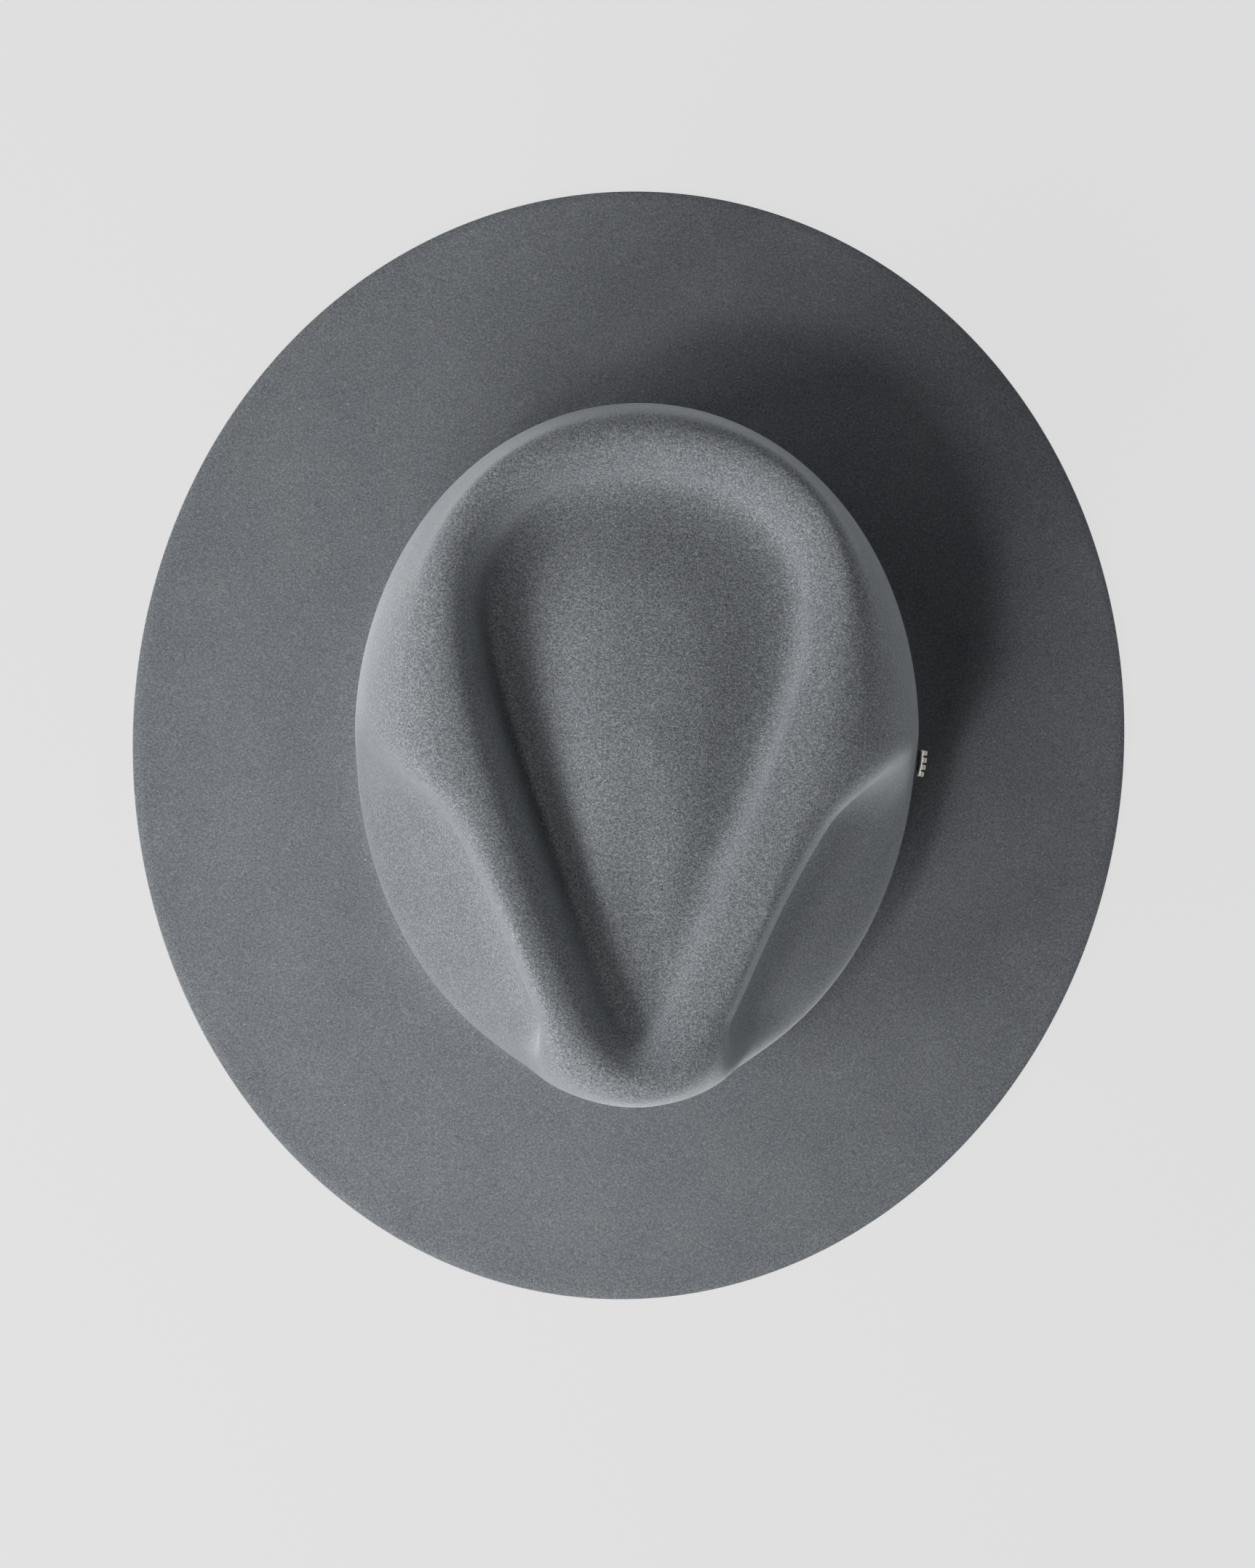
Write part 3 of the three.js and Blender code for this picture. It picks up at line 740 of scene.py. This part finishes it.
def sweatband_stitches():
    """A lockstitch row through tape and leather, and the cross-stitched join at the back."""
    count = round(oval_length(LEATHER_INNER - 1) / STITCH_PITCH)
    tape_face = REED_OFFSET - TAPE_INSIDE - TAPE
    row = [oval_place(angle, tape_face, STITCH_Z) for angle in sweep(count)]
    join = []
    for z in np.linspace(10, 36, 11):
        up = (z - LEATHER_LOW) / (LEATHER_TOP - LEATHER_LOW)
        leather_face = LEATHER_INNER - 0.12 - LEATHER_LEAN * up**2
        for tilt in (0.45, -0.45):
            join.append(oval_place(math.pi / 2, leather_face, z, tilt))
    stitches("sweatband_stitches", row, THREAD_LOOK, "ribbon")
    stitches("sweatband_join", join, THREAD_LOOK, "ribbon", 3.4, 0.2)


def bow_loops():
    """A flat ribbon bow: one closed strip, wide at its loops and nipped in at the knot."""
    out, along, normal_out, normal_along, _ = racetrack(0.42, BOW_HALF, 240)
    across = np.linspace(-1, 1, 13)
    reach = np.abs(along) / BOW_HALF
    width = 1.35 + 2.6 * smoothstep(reach, 0.06, 0.75) - 0.35 * smoothstep(reach, 0.85, 1.0)
    pucker = 0.1 * np.cos(across * TAU * 1.5)[None, :] * (1 - smoothstep(reach, 0.1, 0.5))[:, None]
    swell = 0.25 * np.sin(np.pi * reach)[:, None] * (1 - across**2)[None, :]
    loops = []
    for inward in (0.0, 0.24):
        shift = pucker + swell * np.sign(out)[:, None] * normal_out[:, None] - inward
        x = CROWN_X + along[:, None] + normal_along[:, None] * shift
        y = BOW_Y + out[:, None] + normal_out[:, None] * shift
        z = BOW_Z + across[None, :] * width[:, None] + 0 * x
        loops.append(np.stack([x, y, z], axis=-1))
    sections = np.concatenate([loops[0], loops[1][:, ::-1]], axis=1)
    piece = ring_object("sweatband_bow", sections[::-1])
    finish_piece(piece, RIBBON_PLAIN, "ribbon", "sweatband_bow_loops")


def bow_knot():
    """The turn of ribbon round the bow's waist."""
    out, up, normal_out, normal_up, _ = racetrack(1.25, 2.3, 96)
    across = np.linspace(-1, 1, 13)
    swell = (0.16 * (1 - across**2) + 0.06 * np.cos(across * TAU))[None, :]
    loops = []
    for inward in (0.0, 0.35):
        shift = swell * (inward == 0) - inward + 0 * out[:, None]
        x = CROWN_X + 1.3 * across[None, :] + 0 * shift
        y = BOW_Y + out[:, None] + normal_out[:, None] * shift
        z = BOW_Z + up[:, None] + normal_up[:, None] * shift
        loops.append(np.stack([x, y, z], axis=-1))
    sections = np.concatenate([loops[0], loops[1][:, ::-1]], axis=1)
    piece = ring_object("sweatband_bow_wrap", sections)
    finish_piece(piece, RIBBON_PLAIN, "ribbon", "sweatband_bow_knot")


def size_tag():
    """A blank woven tag, stitched at its top edge and curling a little away from the leather."""
    middle, half, low, high, thickness = math.pi / 2 + 0.35, 0.07, 16.0, 30.0, 0.4
    u, v = np.meshgrid(np.linspace(-1, 1, 33), np.linspace(0, 1, 33))
    curl = 0.5 * (1 - v) ** 2 * (0.6 + 0.4 * u)
    loops = []
    for depth in (0.0, thickness):
        points = base_oval(middle + u * half, LEATHER_INNER - GAP - depth - curl - 0.3 * v**2, 0.0)
        points[..., 2] = low + v * (high - low)
        loops.append(points)
    piece = plate_object("blank_size_tag", loops[1], loops[0])
    finish_piece(piece, TAG_LOOK, "tag", "size_tag")


# ---------------------------------------------------------------- lining
def lining_knots(angle):
    """The lining's outer face from its hem behind the sweatband up to the seam with the tip."""
    pinch_slack, strip_rise = 4.5, 15
    slack = -LINING_GAP - LINING_SLACK - pinch_slack * pinch_at(angle)
    wall = crown_points("wall", angle, slack)
    top = crown_points("upper_wall", angle, slack - 2)
    top[:, 2] = wall[:, 2] + strip_rise
    hem_top = base_oval(angle, -LINING_GAP - 0.5, LEATHER_TOP)
    return np.stack([
        base_oval(angle, -LINING_GAP, LINING_HEM), base_oval(angle, -LINING_GAP, LEATHER_TOP),
        (wall + hem_top) / 2, wall, (wall + top) / 2, top], axis=1)


def towards_middle(points):
    inward = np.array([CROWN_X, CROWN_Y, 0]) - points
    inward[..., 2] = 0
    return inward / np.linalg.norm(inward, axis=-1, keepdims=True)


def lining_side():
    """Satin gathered into its seam with the tip; the gathers die out towards the hem."""
    angle = sweep(11 * LINING_GATHERS)
    outer = spline(lining_knots(angle), [3, 5, 5, 6, 8])
    rows = outer.shape[1]
    up = np.linspace(0, 1, rows)
    phase = LINING_GATHERS * angle + 1.3 * np.sin(7 * angle) + 0.9 * np.sin(23 * angle + 1)
    depth = (0.5 + 0.2 * np.sin(17 * angle))[:, None] * smoothstep(up, 0.25, 1.0)[None, :]
    fold = 0.12 + depth * (1 + np.cos(phase)[:, None])
    inward = towards_middle(outer)
    outer = outer + inward * fold[..., None]
    sections = np.concatenate([outer, (outer + inward * LINING)[:, ::-1]], axis=1)
    piece = ring_object("satin_lining_side", sections[:, ::-1])
    finish_piece(piece, SATIN_LOOK, "lining_satin", "lining_side")


def lining_tip():
    """The oval piece of satin across the top, slack under the dent, with a faint pucker at its seam."""
    angle = sweep()
    seam = lining_knots(angle)[:, -1] + np.array([0, 0, GAP + 0.5])
    valley = crown_points("valley", angle)
    valley[:, 2] -= LINING_GAP + 3.2 + 5 * np.maximum(0, -np.sin(angle)) ** 2
    centre = np.broadcast_to(np.array([CROWN_X, CROWN_Y + DOME_TOP[1], 89.0]), seam.shape)
    grid = spline(np.stack([seam, (seam + valley) / 2, valley, (valley + centre) / 2, centre], axis=1),
                  [9, 9, 9, 9])
    rows = grid.shape[1]
    inside = np.linspace(0, 1, rows)
    pucker = 0.3 * np.cos(90 * angle + np.sin(5 * angle))[:, None] * np.exp(-inside * 9)[None, :]
    slack = 0.35 * np.sin(3 * angle + 1)[:, None] * np.sin(np.pi * inside)[None, :]
    grid[..., 2] -= 0.35 + pucker * (inside < 1) + slack * (1 - inside)
    upper, lower = grid[:, ::-1], grid.copy()
    lower[..., 2] -= LINING
    sections = np.concatenate([upper, lower], axis=1)
    body, poles = sections[:, 1:-1], (sections[0, 0], sections[0, -1])
    piece = pole_object("satin_lining_tip", body, poles)
    finish_piece(piece, SATIN_LOOK, "lining_satin", "lining_tip")


hatband_ribbon()
ribbon_keeper()
badge()
leather = sweatband()
sweatband_tape()
sweatband_reed()
sweatband_stitches()
bow_loops()
bow_knot()
size_tag()
lining_side()
lining_tip()
leather_flat = (LEATHER_TOP - LEATHER_LOW, oval_length(LEATHER_INNER + LEATHER / 2))


# ---------------------------------------------------------------- camera, floor and light
def aim(thing, place, target, up=(0, 0, 1)):
    """Turns a camera or light at place so that its -Z looks at target, with up upwards."""
    back = (Vector(place) - Vector(target)).normalized()
    side = Vector(up).cross(back).normalized()
    turn = Matrix((side, back.cross(side), back)).transposed()
    thing.matrix_world = Matrix.Translation(place) @ turn.to_4x4()


def make_camera():
    height, field_height = 1.25, 0.5073
    lean, roll = math.radians(1.2), math.radians(1.2)
    data = bpy.data.cameras.new("camera")
    data.sensor_fit = "VERTICAL"
    data.sensor_height = 36
    data.lens = 36 * height / field_height
    camera = bpy.data.objects.new("camera", data)
    scene.collection.objects.link(camera)
    low, high = (Vector(corner) for corner in cad_box)
    centre = (low + high) / 2
    target = Vector((centre.x - 0.0005, centre.y - 0.0125, 0.003))
    place = target + height * Vector((-math.sin(lean), 0, math.cos(lean)))
    aim(camera, place, target, (-math.sin(roll), math.cos(roll), 0))
    scene.camera = camera


def make_floor():
    half, height = 6.0, -0.0002
    corners = [(x * half, y * half, height) for x, y in ((-1, -1), (1, -1), (1, 1), (-1, 1))]
    mesh = bpy.data.meshes.new("floor")
    mesh.from_pydata(corners, [], [(0, 1, 2, 3)])
    floor = bpy.data.objects.new("floor", mesh)
    scene.collection.objects.link(floor)
    material, tree, shader = new_material("pale_floor", 0.9, (0.05, 0.05, 0.05), Specular_IOR_Level=0.0)
    shader.inputs["Emission Color"].default_value = (1, 1, 1, 1)
    shader.inputs["Emission Strength"].default_value = 0.7
    mesh.materials.append(material)


LIGHT_DISTANCE = 1.2
WARM = (1.0, 0.99, 0.97)


def area_light(name, azimuth, elevation, width, height, watts, colour=(1, 1, 1)):
    data = bpy.data.lights.new(name, "AREA")
    data.shape = "RECTANGLE"
    data.size, data.size_y = width, height
    data.energy = watts
    data.color = colour
    light = bpy.data.objects.new(name, data)
    scene.collection.objects.link(light)
    a, e = math.radians(azimuth), math.radians(elevation)
    towards = Vector((math.cos(a) * math.cos(e), math.sin(a) * math.cos(e), math.sin(e)))
    aim(light, LIGHT_DISTANCE * towards, (0, 0, 0))


def make_light():
    """Two soft windows, a smaller, higher one that draws the crown's shadow, faint fill, and a
    pale band of sky low over the floor."""
    area_light("window_left", 200, 30, 0.5, 0.4, 6.6, WARM)
    area_light("window_front", 240, 30, 0.5, 0.4, 8.4, WARM)
    area_light("window_high", 219, 65, 0.14, 0.14, 2.3, WARM)
    area_light("back_fill", 155, 27, 0.8, 0.5, 2.6)
    area_light("side_fill", 355, 36, 1.3, 0.6, 1.25)
    world = bpy.data.worlds.new("studio")
    world.use_nodes = True
    tree = world.node_tree
    split = node(tree, "SeparateXYZ")
    tree.links.new(node(tree, "TexCoord").outputs["Generated"], split.inputs[0])
    horizon = node(tree, "MapRange", interpolation_type="SMOOTHSTEP")
    tree.links.new(split.outputs["Z"], horizon.inputs["Value"])
    for name, value in (("From Min", 0.16), ("From Max", 0.27), ("To Min", 0.85), ("To Max", 0.0)):
        horizon.inputs[name].default_value = value
    background = tree.nodes["Background"]
    background.inputs["Color"].default_value = (0.97, 0.985, 1, 1)
    tree.links.new(horizon.outputs["Result"], background.inputs["Strength"])
    scene.world = world


make_camera()
make_floor()
make_light()
scene.view_settings.view_transform = "Standard"
scene.view_settings.look = "None"
